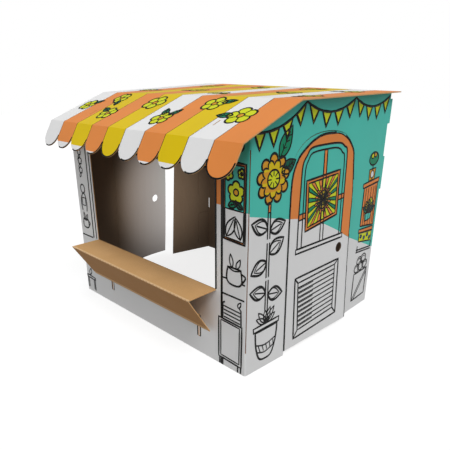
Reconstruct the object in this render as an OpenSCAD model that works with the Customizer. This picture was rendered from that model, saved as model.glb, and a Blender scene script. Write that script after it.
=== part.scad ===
// Cardboard playhouse that folds up from printed corrugated board.
// One long sheet makes the front wall and both side walls, a second sheet closes the back,
// and a third sheet is the striped roof with its scalloped awning edge.
// Y = 0 is the middle of the front wall's thickness and Z = 0 is the floor.

/* [House] */
// Width over the side walls
house_w = 1200; // [900:10:1500]
// Depth from the front face to the back face
house_d = 984; // [800:4:1250]
// Thickness of the corrugated board
board = 4; // [3:0.5:6]
// Outer radius of the folded front corners
fold_r = 8; // [7:0.5:14]
// Free space between pieces that slide together
fit = 0.4; // [0.2:0.1:1]
// Free space between the roof and the walls under it
roof_gap = 0.3; // [0.2:0.1:1]

/* [Corner slits] */
// Width of the slit that eases each front fold
slit_w = 3.6; // [2:0.2:6]
// Height where the slit begins
slit_low = 107; // [60:1:200]
// Height where the slit ends
slit_high = 896; // [600:1:900]

/* [Serving window] */
// Width of the window
window_w = 870; // [600:10:1000]
// Height of the sill above the floor
sill_h = 335; // [250:5:420]
// Height of the opening
window_h = 477; // [380:1:520]

/* [Counter] */
// How far the counter stands out from the wall
counter_reach = 151; // [100:1:200]
// Height of the lower edge of the counter's flap
counter_low = 156; // [120:1:220]
// Distance of the flap's lower edge from the wall
counter_foot = 36; // [20:1:60]
// Spacing of the cuts along the front fold
tooth_pitch = 22; // [14:1:40]
// Depth of the cuts along the front fold
tooth_depth = 7; // [3:0.5:10]
// Distance of each hook from the middle of the counter
hook_x = 332; // [200:2:400]
// Height where each hook begins in its slot
hook_low = 128; // [100:2:150]
// Height of each hook
hook_h = 58; // [50:2:110]
// Width of each hook where it leaves the flap, measured along the flap
hook_root = 96; // [50:2:120]
// How far each hook reaches into the house
hook_reach = 14; // [8:1:30]
// Width of the slots that take the hooks
slot_w = 12; // [6:0.5:14]
// Height where the slots begin
slot_low = 78; // [50:1:110]

/* [Doors] */
// Distance of the hinge crease from the front face
hinge_y = 232; // [120:2:300]
// Width of each doorway
door_w = 470; // [350:5:520]
// Height of each doorway
door_h = 928; // [700:2:940]
// Rise of the arch over the doorway
arch_rise = 158; // [80:2:220]
// Width of the cut around each door
kerf = 3; // [1.5:0.5:6]
// Gap between each door and the floor
door_lift = 18; // [5:1:40]
// Diameter of the finger holes
finger_d = 46; // [25:1:60]
// Height of the finger holes
finger_z = 405; // [300:5:600]
// Distance of the finger holes from the free edge of the door
finger_in = 92; // [50:1:140]
// Swing of the left door at its foot, in degrees
left_swing_foot = 16.2; // [0:0.1:25]
// Swing of the left door at its head, in degrees
left_swing_head = 12.7; // [0:0.1:25]
// How far the left door bulges at its foot
left_bulge = 50; // [0:1:90]
// Swing of the right door at its foot, in degrees
right_swing_foot = 3.2; // [0:0.1:25]
// Swing of the right door at its head, in degrees
right_swing_head = 0.6; // [0:0.1:25]

/* [Bow of the side walls] */
// How far the left wall stands out at the foot of its hinge crease
left_bow_hinge = 10; // [0:1:40]
// How far the left wall stands out at the foot of its rear strip
left_bow_rear = 70; // [0:1:140]
// How far the rear left corner stands out of square
left_rear_out = 30; // [0:1:33]
// How far the right wall stands out at the foot of its hinge crease
right_bow_hinge = 14; // [0:1:40]
// How far the right wall stands out at the foot of its rear strip
right_bow_rear = 5; // [0:1:140]
// Height where the bow has died out
bow_top = 930; // [800:5:950]

/* [Roof] */
// Distance of the eave fold in front of the front face
eave_reach = 75; // [40:1:120]
// Height of the eave fold
eave_h = 927; // [880:1:980]
// Distance of the ridge fold behind the front face
ridge_y = 232; // [150:2:400]
// Height of the ridge fold
ridge_h = 1051; // [1010:1:1150]
// Rise of the rear edge above the ridge, at its middle
rear_rise = 30.5; // [0:0.5:100]
// Height of the left rear corner above the right one
rear_lean = 27; // [0:1:60]
// Overhang behind the back wall
rear_reach = 25; // [10:1:60]
// Overhang beyond each side wall
side_reach = 34; // [10:1:60]
// Height of the plain band above the scallops
valance_band = 66; // [30:1:90]
// Lean of the valance away from the wall, in degrees
valance_lean = 30; // [5:1:50]
// Number of stripes and scallops
stripes = 10; // [6:1:16]
// Length of the locking slits in the front slope
lock_len = 38; // [20:1:60]
// Width of the locking slits
lock_w = 5; // [3:0.5:8]
// Distance of the outer locking slits from the middle
lock_x = 410; // [200:5:500]
// Distance of the locking slits behind the front face
lock_y = 12; // [8:1:60]

/* [Back wall] */
// Length of the flanges that fold forward inside the side walls
flange_len = 88; // [50:1:130]
// Radius of the corners of the flanges
flange_r = 24; // [8:1:30]
// Bottom of the lower flange
flange_low = 45; // [20:1:80]
// Top of the lower flange
flange_mid = 262; // [180:2:300]
// Bottom of the upper flange
flange_high = 385; // [340:5:500]
// Space above the upper flange
flange_top_gap = 60; // [30:2:120]
// Distance of the hand slits from the corners
slit_in = 4; // [3:1:60]
// Width of the hand slits in the back wall
hand_slit_w = 8; // [4:0.5:16]
// Height of the hand slits
hand_slit_h = 68; // [40:1:120]

/* [Rear lugs] */
// Length of the upper lugs behind the back wall
upper_lug = 20; // [8:1:24]
// Bottom of the upper lugs
upper_lug_z = 925; // [860:5:960]
// Height of the upper lugs
upper_lug_h = 110; // [60:5:120]
// Length of the lower lugs
lower_lug = 14; // [8:1:24]
// Bottom of the lower lugs
lower_lug_z = 612; // [500:2:700]
// Height of the lower lugs
lower_lug_h = 160; // [80:5:200]

/* [Hidden] */

$fn = 48;
teal = [0.32, 0.67, 0.61];
white = [0.9, 0.9, 0.89];
orange = [0.91, 0.57, 0.35];

half_w = house_w / 2;
inner_half_w = half_w - board;
cut_span = 400;
eps = 0.5;
columns = 4;
rows = 4;

roof_half_w = half_w + side_reach;
stripe_w = 2 * roof_half_w / stripes;
scallop_r = stripe_w / 2 - 0.8;

// Top surface of the roof, in the Y and Z plane.
ridge_pt = [ridge_y, ridge_h];
eave_pt = [-eave_reach, eave_h];
slope_len = norm(eave_pt - ridge_pt);
slope_dir = (eave_pt - ridge_pt) / slope_len;
valance_dir = [-sin(valance_lean), -cos(valance_lean)];
valance_pt = eave_pt + valance_band * valance_dir;
function under(d) = [-d[1], d[0]];
slope_under = under(slope_dir);
valance_under = under(valance_dir);
eave_mitre = (slope_under + valance_under) / (1 + slope_under * valance_under);
sheet_drop = board / abs(slope_dir[0]);
rear_y = house_d + rear_reach;
slope_grade = (ridge_h - eave_h) / (ridge_y + eave_reach);

// Height of the roof's top surface at the rear edge, and anywhere else.
function rear_h(x) = ridge_h + rear_rise - rear_lean * x / (2 * roof_half_w);
function roof_top(x, y) =
    y < ridge_y ? ridge_h - (ridge_y - y) * slope_grade
    : ridge_h + (rear_h(x) - ridge_h) * (y - ridge_y) / (rear_y - ridge_y);
function roof_under(x, y) = roof_top(x, y) - sheet_drop - roof_gap;
wall_top = max(rear_h(-roof_half_w), rear_h(roof_half_w), ridge_h);
front_top = roof_under(0, 0);

// Side walls stand out by this much at a given place. A wall's bows are those at its hinge crease
// and at its rear strip, on the floor. They die out at the corners and towards the roof.
// A third value moves the rear corner out of square over the whole height.
left_bows = [left_bow_hinge, left_bow_rear, left_rear_out];
right_bows = [right_bow_hinge, right_bow_rear, 0];
function bow(y, z, bows) =
    max(0, 1 - z / bow_top)
    * lookup(y, [[fold_r, 0], [hinge_y, bows[0]], [door_far_y, bows[1]], [house_d, 0]])
    + bows[2] * (y - fold_r) / (house_d - fold_r);

door_far_y = hinge_y + door_w;
arch_spring = door_h - arch_rise;
arch_power = 2.3;
arch_steps = 20;

// Half of a rounded arch from the spring line up and over, as a superellipse.
function arch_pt(t, half, rise) =
    [-half * sign(cos(t)) * pow(abs(cos(t)), 2 / arch_power), rise * pow(abs(sin(t)), 2 / arch_power)];
function arch_outline(inset, foot) = concat(
    [[hinge_y, foot]],
    [for (i = [0 : arch_steps])
        let (p = arch_pt(180 * i / arch_steps, door_w / 2 - inset / 2, arch_rise - inset))
        [hinge_y + door_w / 2 - inset / 2 + p[0], arch_spring + p[1]]],
    [[door_far_y - inset, foot]]);

// A thin bent sheet between two grids of points, given column by column.
module grid_sheet(outer, inner) {
    nc = len(outer);
    nr = len(outer[0]);
    pts = concat([for (c = outer) for (p = c) p], [for (c = inner) for (p = c) p]);
    side = nc * nr;
    cells = [for (c = [0 : nc - 2]) for (r = [0 : nr - 2]) c * nr + r];
    outer_faces = [for (k = cells) each [[k, k + 1, k + nr], [k + 1, k + nr + 1, k + nr]]];
    inner_faces = [for (k = cells) each [
        [side + k, side + k + nr, side + k + 1], [side + k + 1, side + k + nr, side + k + nr + 1]]];
    foot = [for (c = [0 : nc - 2]) let (k = c * nr) each [
        [k, k + nr, side + k + nr], [k, side + k + nr, side + k]]];
    head = [for (c = [0 : nc - 2]) let (k = c * nr + nr - 1) each [
        [k, side + k + nr, k + nr], [k, side + k, side + k + nr]]];
    first = [for (r = [0 : nr - 2]) each [[r, side + r + 1, r + 1], [r, side + r, side + r + 1]]];
    last = [for (r = [0 : nr - 2]) let (k = (nc - 1) * nr + r) each [
        [k, k + 1, side + k + 1], [k, side + k + 1, side + k]]];
    polyhedron(points = pts, faces = concat(outer_faces, inner_faces, foot, head, first, last));
}

// Columns and rows of a side wall: even steps between its creases and up to the end of the bow.
wall_knots = [fold_r, hinge_y, door_far_y, house_d];
wall_ys = concat([fold_r], [
    for (k = [0 : 2])
        for (i = [1 : columns])
            wall_knots[k] + (wall_knots[k + 1] - wall_knots[k]) * i / columns]);
wall_zs = concat([for (r = [0 : rows]) bow_top * r / rows], [wall_top]);

// Points of one face of a side wall, set in from the outer face.
function wall_grid(ys, bows, inset) = [
    for (y = ys) [
        for (z = wall_zs) [half_w + bow(y, z, bows) - inset, y, z]]];

// Everything above the underside of the roof, along the wall on the given side.
module roof_cut(side) {
    x = side * half_w;
    far = house_d + 100;
    sky = wall_top + 400;
    translate([half_w - cut_span / 2, 0, 0])
        rotate([90, 0, 90])
            linear_extrude(cut_span)
                polygon([
                    [-100, roof_under(x, -100)],
                    [ridge_y, roof_under(x, ridge_y)],
                    [far, roof_under(x, far)],
                    [far, sky],
                    [-100, sky]]);
}

// A flat outline in the Y and Z plane, pushed through the wall along X.
module through_wall(x_mid) {
    translate([x_mid - cut_span / 2, 0, 0])
        rotate([90, 0, 90])
            linear_extrude(cut_span)
                children();
}

// One side wall, drawn for the right side.
module side_wall(side, bows) {
    difference() {
        union() {
            grid_sheet(wall_grid(wall_ys, bows, 0), wall_grid(wall_ys, bows, board));
            lug(upper_lug, upper_lug_z, upper_lug_h, bows);
            lug(lower_lug, lower_lug_z, lower_lug_h, bows);
        }
        roof_cut(side);
        through_wall(half_w) polygon(arch_outline(0, -10));
    }
}

module lug(reach, low, height, bows) {
    translate([inner_half_w + bow(house_d, low, bows), house_d - eps, low])
        cube([board, reach + eps, height]);
}

// Outer face of a door: it turns about its crease, more at the foot than at the head.
// A door's swing is its turns at the foot and at the head, and its bulge at the foot.
left_swing = [left_swing_foot, left_swing_head, left_bulge];
right_swing = [right_swing_foot, right_swing_head, 0];
function leaf_turn(z, swing) = swing[1] + (swing[0] - swing[1]) * pow(1 - z / door_h, 2);
function leaf_pt(u, z, bows, swing, inset) =
    let (
        a = leaf_turn(z, swing),
        bulge = swing[2] * (1 - z / door_h),
        bend = a + atan(bulge * PI / door_w * cos(180 * u / door_w)),
        out = bulge * sin(180 * u / door_w))
    [
        half_w + bow(hinge_y, z, bows) + u * sin(a) + out * cos(a) - inset * cos(bend),
        hinge_y + u * cos(a) - out * sin(a) + inset * sin(bend),
        z];
function leaf_grid(bows, swing, inset) = [
    for (i = [0 : 2 * columns]) [
        for (r = [0 : 2 * rows])
            leaf_pt(-eps + (door_w + eps) * i / (2 * columns), door_h * r / (2 * rows), bows, swing, inset)]];

module door_leaf(bows, swing) {
    intersection() {
        grid_sheet(leaf_grid(bows, swing, 0), leaf_grid(bows, swing, board));
        translate([half_w, hinge_y, 0])
            rotate([0, 0, -leaf_turn(finger_z, swing)])
                translate([-half_w, -hinge_y, 0])
                    difference() {
                        through_wall(half_w) leaf_outline();
                        translate([half_w, door_far_y - finger_in, finger_z])
                            rotate([0, 90, 0])
                                cylinder(h = cut_span, d = finger_d, center = true);
                    }
    }
}

module leaf_outline() {
    union() {
        polygon(arch_outline(kerf, door_lift));
        translate([hinge_y - 2 * eps, door_lift])
            square([3 * eps, arch_spring - door_lift - arch_rise / 3]);
    }
}

// The rounded fold between the front wall and a side wall, with its long slit.
module corner_fold() {
    middle = [half_w - fold_r, fold_r];
    translate([middle[0], middle[1], 0])
        difference() {
            intersection() {
                difference() {
                    cylinder(h = front_top, r = fold_r);
                    translate([0, 0, -1])
                        cylinder(h = front_top + 2, r = fold_r - board);
                }
                translate([0, -2 * fold_r, 0])
                    cube([2 * fold_r, 2 * fold_r, front_top]);
            }
            rotate([0, 0, -45])
                translate([0, -slit_w / 2, slit_low])
                    cube([2 * fold_r, slit_w, slit_high - slit_low]);
        }
}

module front_wall() {
    window_top = sill_h + window_h;
    difference() {
        translate([-half_w + fold_r, 0, 0])
            cube([house_w - 2 * fold_r, board, front_top]);
        translate([-window_w / 2, -1, sill_h])
            cube([window_w, board + 2, window_h]);
        for (s = [-1, 1])
            translate([s * hook_x - slot_w / 2, -1, slot_low])
                cube([slot_w, board + 2, hook_top + fit - slot_low]);
    }
}

// Cross-section of the counter: the top, and the flap that hangs from its front fold.
counter_top_pt = [-counter_reach, sill_h];
counter_low_pt = [-counter_foot, counter_low];
flap_dir = (counter_low_pt - counter_top_pt) / norm(counter_low_pt - counter_top_pt);
flap_in = [-flap_dir[1], flap_dir[0]];
top_in = [0, -1];
top_mitre = (top_in + flap_in) / (1 + top_in * flap_in);
counter_profile = [
    [eps, sill_h],
    counter_top_pt,
    counter_low_pt,
    counter_low_pt + board * flap_in,
    counter_top_pt + board * top_mitre,
    [eps, sill_h - board]];

// Side view of a hook, from the flap to its rounded-off end inside the house.
hook_top = hook_low + hook_h;
hook_foot_pt = counter_low_pt + board / 2 * flap_in;
hook_inside = board + hook_reach;
hook_behind = board + fit;
hook_w = 2 * board;
hook_profile = [
    hook_foot_pt,
    [0, hook_low],
    [hook_behind, hook_low],
    [hook_behind, slot_low - hook_reach],
    [hook_inside, slot_low - hook_reach],
    [hook_inside, hook_top - hook_reach],
    [board, hook_top],
    [0, hook_top],
    hook_foot_pt - hook_root * flap_dir];
teeth = floor(window_w / tooth_pitch);

module counter() {
    difference() {
        translate([-window_w / 2, 0, 0])
            rotate([90, 0, 90])
                linear_extrude(window_w)
                    polygon(counter_profile);
        for (i = [0 : teeth - 1])
            translate([(i - (teeth - 1) / 2) * tooth_pitch, -counter_reach, sill_h])
                rotate([0, 0, 45])
                    translate([0, 0, -tooth_depth])
                        cube([tooth_depth * sqrt(2), tooth_depth * sqrt(2), 3 * tooth_depth], center = true);
    }
    for (s = [-1, 1])
        translate([s * hook_x - hook_w / 2, 0, 0])
            rotate([90, 0, 90])
                linear_extrude(hook_w)
                    polygon(hook_profile);
}

module walls() {
    translate([0, -board / 2, 0])
        color(teal) {
            front_wall();
            counter();
            corner_fold();
            mirror([1, 0, 0]) corner_fold();
            side_wall(1, right_bows);
            door_leaf(right_bows, right_swing);
            mirror([1, 0, 0]) {
                side_wall(-1, left_bows);
                door_leaf(left_bows, left_swing);
            }
        }
}

// One flange of the back wall, drawn for the right side. It follows the bow of the wall outside it.
module flange(low, high, bows) {
    ys = [for (y = wall_ys) if (y >= door_far_y) y];
    tall = high - low;
    intersection() {
        grid_sheet(wall_grid(ys, bows, board + fit), wall_grid(ys, bows, 2 * board + fit));
        through_wall(half_w)
            translate([house_d - flange_len, low])
                union() {
                    translate([flange_r, 0])
                        square([flange_len - flange_r, tall]);
                    translate([0, flange_r])
                        square([flange_len, tall - 2 * flange_r]);
                    for (z = [flange_r, tall - flange_r])
                        translate([flange_r, z])
                            circle(flange_r);
                }
    }
}

module flanges(side, bows) {
    top = roof_under(side * half_w, house_d - flange_len) - flange_top_gap;
    flange(flange_low, flange_mid, bows);
    flange(flange_high, top, bows);
}

module back_wall() {
    edges = [-1, 1] * (inner_half_w - fit) + [-bow(house_d, 0, left_bows), bow(house_d, 0, right_bows)];
    slit_z = (flange_mid + flange_high - hand_slit_h) / 2;
    y_in = house_d - board;
    translate([0, -board / 2, 0])
        color(white) {
            difference() {
                translate([0, house_d, 0])
                    rotate([90, 0, 0])
                        linear_extrude(board)
                            polygon([
                                [edges[0], 0],
                                [edges[1], 0],
                                [edges[1], roof_under(edges[1], y_in)],
                                [edges[0], roof_under(edges[0], y_in)]]);
                for (x = edges + [1, -1] * (slit_in + hand_slit_w / 2))
                    translate([x - hand_slit_w / 2, y_in - 1, slit_z])
                        cube([hand_slit_w, board + 2, hand_slit_h]);
            }
            flanges(1, right_bows);
            mirror([1, 0, 0]) flanges(-1, left_bows);
        }
}

// Slanted front and uncut valance of the roof in the Y and Z plane.
valance_end = eave_pt + (valance_band + scallop_r + 1) * valance_dir;
roof_profile = [
    ridge_pt,
    eave_pt,
    valance_end,
    valance_end + board * valance_under,
    eave_pt + board * eave_mitre,
    [ridge_y, ridge_h - sheet_drop],
    [ridge_y + eps, ridge_h - sheet_drop / 2]];

// Points of the rear slope, from its rear edge to the ridge. The sheet twists evenly from side to side.
function rear_grid(drop) = [
    for (j = [rows : -1 : 0])
        let (y = ridge_y + (rear_y - ridge_y) * j / rows)
        [for (i = [0 : stripes])
            let (x = -roof_half_w + i * stripe_w)
            [x, y, roof_top(x, y) - drop]]];

module front_slope() {
    translate([-roof_half_w, 0, 0])
        rotate([90, 0, 90])
            linear_extrude(2 * roof_half_w)
                polygon(roof_profile);
}

// What is cut away between and below the scallops.
module scallop_waste() {
    margin = 20;
    translate([0, valance_pt[0], valance_pt[1]])
        rotate([90 - valance_lean, 0, 0])
            translate([0, 0, -margin])
                linear_extrude(2 * margin)
                    difference() {
                        translate([-roof_half_w - margin, -scallop_r - margin])
                            square([2 * (roof_half_w + margin), scallop_r + margin]);
                        for (i = [0 : stripes - 1])
                            translate([(i + 0.5) * stripe_w - roof_half_w, 0])
                                circle(scallop_r);
                    }
}

module roof() {
    translate([0, -board / 2, 0])
        color(orange)
            difference() {
                union() {
                    front_slope();
                    grid_sheet(rear_grid(0), rear_grid(sheet_drop));
                }
                scallop_waste();
                for (x = [-lock_x, 0, lock_x])
                    translate([x - lock_w / 2, lock_y, eave_h])
                        cube([lock_w, lock_len, ridge_h - eave_h]);
            }
}

walls();
back_wall();
roof();
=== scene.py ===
# %% [markdown]
# # A playhouse folded from printed board
# Three sheets of corrugated board make this house: one for the walls, one for the back and one
# for the roof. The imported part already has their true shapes. This lesson adds what a printer
# and a knife leave on them: the coated white side, the flat colours, the line drawings, the
# brown side of the sheet and its cut edges.

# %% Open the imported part
import math

import bpy
from mathutils import Matrix, Vector


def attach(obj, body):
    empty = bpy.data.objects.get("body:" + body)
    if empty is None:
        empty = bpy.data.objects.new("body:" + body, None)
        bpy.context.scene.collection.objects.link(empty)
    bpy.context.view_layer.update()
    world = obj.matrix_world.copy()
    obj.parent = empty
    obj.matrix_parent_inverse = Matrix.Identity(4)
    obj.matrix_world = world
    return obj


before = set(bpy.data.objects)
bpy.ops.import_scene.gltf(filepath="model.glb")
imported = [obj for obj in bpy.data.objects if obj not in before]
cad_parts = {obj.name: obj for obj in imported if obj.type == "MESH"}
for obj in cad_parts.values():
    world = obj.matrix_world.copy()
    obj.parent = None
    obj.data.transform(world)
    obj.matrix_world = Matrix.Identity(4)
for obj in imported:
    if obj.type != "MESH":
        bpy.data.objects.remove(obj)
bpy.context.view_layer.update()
walls, back_wall, roof = (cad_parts[name] for name in ("walls", "back_wall", "roof"))

# %% [markdown]
# ## Sizes
# The drawings are laid out in millimetres, as on the printer's sheet. The few sizes of the part
# that they need are written here once. The front face of the front wall is half a board in
# front of zero, so every distance from that face is moved back by as much.

# %% Sizes of the house
MM = 0.001
BOARD = 4.0
FACE = -BOARD / 2
HALF_WIDTH = 600.0
ROOF_HALF = 634.0
STRIPES = 10
STRIPE = 2 * ROOF_HALF / STRIPES
EAVE = Vector((0, -75 + FACE, 927))
LEAN = math.radians(30)
DOWN = Vector((0, -math.sin(LEAN), -math.cos(LEAN)))
AWNING_OUT = Vector((0, -math.cos(LEAN), math.sin(LEAN)))
BAND = 66.0
SCALLOP = STRIPE / 2 - 0.8
COAT = 0.2
INK = 0.34
STEP = 0.07
print("one stripe is", round(STRIPE, 1), "mm wide")

# %% [markdown]
# ## Camera
# The photograph was taken from the front right, a little above the roof's edge, and the lens
# axis lies below the middle of the picture. A vertical shift of the sensor gives the same
# picture without tilting the walls.

# %% Set the camera
bpy.ops.object.select_all(action="DESELECT")
bpy.ops.object.camera_add(location=(1.5996, -1.1587, 1.107))
camera = bpy.context.active_object
turn = Matrix.Rotation(math.radians(43.94), 3, "Z") @ Matrix.Rotation(math.radians(90 - 21.65), 3, "X")
camera.rotation_euler = (turn @ Matrix.Rotation(math.radians(0.295), 3, "Z")).to_euler()
camera.data.sensor_width = 36
camera.data.lens = 36.27
camera.data.shift_y = 0.0806
camera.data.clip_end = 60
bpy.context.scene.camera = camera
bpy.context.scene.view_settings.view_transform = "Standard"
print("camera is", round(camera.location.z, 2), "m above the floor")

# %% [markdown]
# ## Shader sums written as sums
# A finish is a set of sums over the surface: a grain here, a mask there. This small class wraps
# an output socket, so that a plain expression adds the Math nodes behind it.


# %% A number that changes over a surface
class Field:
    def __init__(self, tree, socket):
        self.tree = tree
        self.socket = socket

    def sum(self, operation, other=None, first=False):
        node = self.tree.nodes.new("ShaderNodeMath")
        node.operation = operation
        places = (1, 0) if first else (0, 1)
        self.tree.links.new(self.socket, node.inputs[places[0]])
        if isinstance(other, Field):
            self.tree.links.new(other.socket, node.inputs[places[1]])
        elif other is not None:
            node.inputs[places[1]].default_value = other
        return Field(self.tree, node.outputs[0])

    def __add__(self, other):
        return self.sum("ADD", other)

    def __sub__(self, other):
        return self.sum("SUBTRACT", other)

    def __mul__(self, other):
        return self.sum("MULTIPLY", other)

    def __rsub__(self, other):
        return self.sum("SUBTRACT", other, first=True)

    def __gt__(self, other):
        return self.sum("GREATER_THAN", other)

    def __lt__(self, other):
        return self.sum("LESS_THAN", other)

    def __abs__(self):
        return self.sum("ABSOLUTE")

    __radd__ = __add__
    __rmul__ = __mul__


# %% A finish, and the one way it makes its nodes
class Finish:
    def __init__(self, name):
        self.material = bpy.data.materials.new(name)
        self.material.use_nodes = True
        self.tree = self.material.node_tree
        self.surface = self.tree.nodes["Principled BSDF"]
        self.read = self.tree.nodes.new("ShaderNodeTexCoord").outputs
        self.place = self.read["Object"]
        self.x, self.y, self.z = self.split(self.place)

    def node(self, kind, settings, inputs):
        made = self.tree.nodes.new("ShaderNode" + kind)
        for key, value in settings.items():
            setattr(made, key, value)
        for key, value in inputs.items():
            value = value.socket if isinstance(value, Field) else value
            if isinstance(value, bpy.types.NodeSocket):
                self.tree.links.new(value, made.inputs[key])
            else:
                made.inputs[key].default_value = value
        return made

    def split(self, vector):
        parts = self.node("SeparateXYZ", {}, {"Vector": vector}).outputs
        return [Field(self.tree, part) for part in parts]

    def noise(self, scale, detail=2.0, stretch=(1, 1, 1)):
        spread = self.node("Mapping", {}, {"Vector": self.place, "Scale": stretch})
        cloud = self.node("TexNoise", {}, {"Vector": spread.outputs[0], "Scale": scale, "Detail": detail})
        return Field(self.tree, cloud.outputs["Fac"])

    def blend(self, amount, first, second, kind="MIX"):
        settings = {"data_type": "RGBA", "blend_type": kind}
        mixed = self.node("Mix", settings, {"Factor": amount, 6: first, 7: second})
        return mixed.outputs[2]

    def set(self, **values):
        for key, value in values.items():
            socket = self.surface.inputs[key.replace("_", " ").title().replace("Ior", "IOR")]
            value = value.socket if isinstance(value, Field) else value
            if isinstance(value, bpy.types.NodeSocket):
                self.tree.links.new(value, socket)
            else:
                socket.default_value = value

    def bump(self, height, strength, distance):
        inputs = {"Height": height, "Strength": strength, "Distance": distance}
        self.tree.links.new(self.node("Bump", {}, inputs).outputs["Normal"], self.surface.inputs["Normal"])


# %% [markdown]
# ## What corrugated board looks like
# Under the paper are flutes, about 8 mm apart, and they show through a printed face as very
# faint ribs. They run up the walls, so a rib's height depends on the distance along the wall,
# x + y. On the roof they run from ridge to eave and depend on x alone.


# %% The ribs of the flutes
FLUTE = 7.9 * MM


def ribs(finish, along):
    wave = (along * (2 * math.pi / FLUTE)).sum("SINE")
    return wave * 0.5 + 0.5


def rgb(red, green, blue):
    """A colour as seen on a screen, from 0 to 255, as the light values that shaders use."""
    values = [c / 255 for c in (red, green, blue)]
    return tuple(c / 12.92 if c <= 0.04045 else ((c + 0.055) / 1.055) ** 2.4 for c in values) + (1,)


# %% [markdown]
# ## Printed colour
# The inks are flat colours with a light varnish. Printed board is never quite even: large soft
# clouds change its strength by a few parts in a hundred, and the finest fibres leave pale pin
# points. One function makes every ink, so that they all have the same varnish and ribs.


# %% Make an ink
def ink(name, colour, cloud=0.10, along="walls", rough=0.46):
    finish = Finish(name)
    clouds = finish.noise(5, 3)
    fibres = finish.noise(900, 2, (1, 1, 0.25))
    dark = tuple(c * (1 - 2.2 * cloud) for c in colour[:3]) + (1,)
    pale = tuple(min(1, c * (1 + 0.6 * cloud)) for c in colour[:3]) + (1,)
    base = finish.blend(clouds, dark, pale)
    pins = (fibres > 0.70) * 0.05
    paper = tuple(c * 0.6 + 0.36 for c in colour[:3]) + (1,)
    finish.set(base_color=finish.blend(pins, base, paper))
    finish.set(roughness=clouds * 0.12 + fibres * 0.08 + (rough - 0.10))
    finish.set(specular_ior_level=0.14)
    run = finish.x if along == "roof" else finish.x + finish.y
    finish.bump(ribs(finish, run) * 0.55 + fibres * 0.45, 0.35, 0.00012)
    return finish.material


WHITE = rgb(238, 238, 238)
inks = {
    "white": ink("white coating", WHITE, 0.02, rough=0.5),
    "teal": ink("teal ink", rgb(80, 205, 188), 0.05),
    "orange": ink("orange ink", rgb(240, 142, 66), 0.05),
    "yellow": ink("yellow ink", rgb(230, 200, 0), 0.05),
    "lime": ink("lime yellow ink", rgb(219, 228, 28), 0.05),
    "green": ink("leaf green ink", rgb(0, 140, 98), 0.08),
    "dark_green": ink("shade green ink", rgb(0, 92, 68), 0.08),
    "amber": ink("amber ink", rgb(226, 160, 36), 0.06),
    "blue": ink("deep blue ink", rgb(28, 96, 140), 0.06),
    "black": ink("black line ink", rgb(8, 8, 8), 0.02),
    "roof_white": ink("white roof coating", rgb(242, 242, 242), 0.02, "roof", 0.5),
    "roof_orange": ink("orange roof ink", rgb(240, 147, 74), 0.05, "roof"),
    "roof_yellow": ink("yellow roof ink", rgb(234, 203, 0), 0.05, "roof"),
    "roof_black": ink("black roof ink", rgb(8, 8, 8), 0.02, "roof"),
}
print(len(inks), "inks")

# %% [markdown]
# ## Brown board
# The inside of each sheet is plain kraft paper: warm brown, with long darker fibres, and ribs
# that show more than on the printed side. Where the board is cut across its flutes the edge is
# a row of small hollows, and the shade in them is painted dark. The flutes stand upright, so
# those are the level edges of walls. The wall sheet also carries painted light and shade: the
# counter's front fold is painted paler as a highlight, its flap is painted darker as shade, and
# the room is painted dim, with painted light on the inside of the open left door.

# %% Where the painted light and shade of the wall sheet change
FOLD_OUT = -0.142
FOLD_UP = 0.330
FLAP_OUT = -0.05
ROOM_START = 0.0025
OPEN_DOOR_X = -0.606
OPEN_DOOR_START = 0.24
OPEN_DOOR_END = 0.690
OPEN_DOOR_RISE = 2.2


def wall_tones(finish, facing, brown):
    # Painted shade: the counter's flap, facing down and out, is painted darker.
    painted_flap_shade = (facing["Y"] < -0.5) * (finish.y < FLAP_OUT)
    brown = finish.blend(painted_flap_shade * 0.7, brown, rgb(168, 112, 52))
    # Painted highlight: the counter's front fold is painted paler.
    painted_fold_highlight = (finish.y < FOLD_OUT) * (finish.z > FOLD_UP)
    brown = finish.blend(painted_fold_highlight * 0.6, brown, rgb(244, 212, 168))
    # Painted shade: every face inside the room is painted dark grey-brown.
    brown = finish.blend((finish.y > ROOM_START) * 0.9, brown, rgb(92, 80, 70))
    # Painted light: the inside of the open left door grows paler towards its free edge.
    on_door = (finish.x < OPEN_DOOR_X) * (finish.y < OPEN_DOOR_END)
    painted_door_light = on_door * ((finish.y - OPEN_DOOR_START) * OPEN_DOOR_RISE)
    return finish.blend(painted_door_light, brown, rgb(186, 181, 178))


# %% Kraft paper for the three sheets
def kraft(name, along, edge_axis):
    finish = Finish(name)
    clouds = finish.noise(7, 4)
    fibres = finish.noise(420, 3, (1, 1, 0.12))
    flecks = finish.noise(1500, 1, (1, 1, 0.3))
    brown = finish.blend(clouds, rgb(210, 162, 106), rgb(232, 188, 134))
    brown = finish.blend((fibres > 0.58) * 0.25, brown, rgb(168, 124, 78))
    brown = finish.blend((flecks > 0.72) * 0.25, brown, rgb(232, 200, 158))
    facing = dict(zip("XYZ", finish.split(finish.read["Normal"])))
    if along == "walls":
        brown = wall_tones(finish, facing, brown)
    run = finish.x if along == "roof" else finish.x + finish.y
    rib = ribs(finish, run)
    level = abs(facing[edge_axis]) > 0.9
    if edge_axis == "Z":
        level = level * (finish.y > (FACE - 0.1) * MM)
    # Painted shade: the flute hollows on level cut edges are painted dark.
    painted_hollow_shade = level * (rib > 0.45)
    finish.set(base_color=finish.blend(painted_hollow_shade * 0.62, brown, rgb(84, 54, 28)))
    finish.set(roughness=0.70 + fibres * 0.18, specular_ior_level=0.1)
    finish.bump(rib * 0.5 + fibres * 0.5, 0.5, 0.0002)
    return finish.material


def dress(piece, *finishes):
    piece.data.materials.clear()
    for finish in finishes:
        piece.data.materials.append(finish)


wall_kraft = kraft("kraft wall board", "walls", "Z")
roof_kraft = kraft("kraft roof board", "roof", "Y")
dress(walls, wall_kraft)
dress(back_wall, wall_kraft)
dress(roof, roof_kraft)

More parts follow.
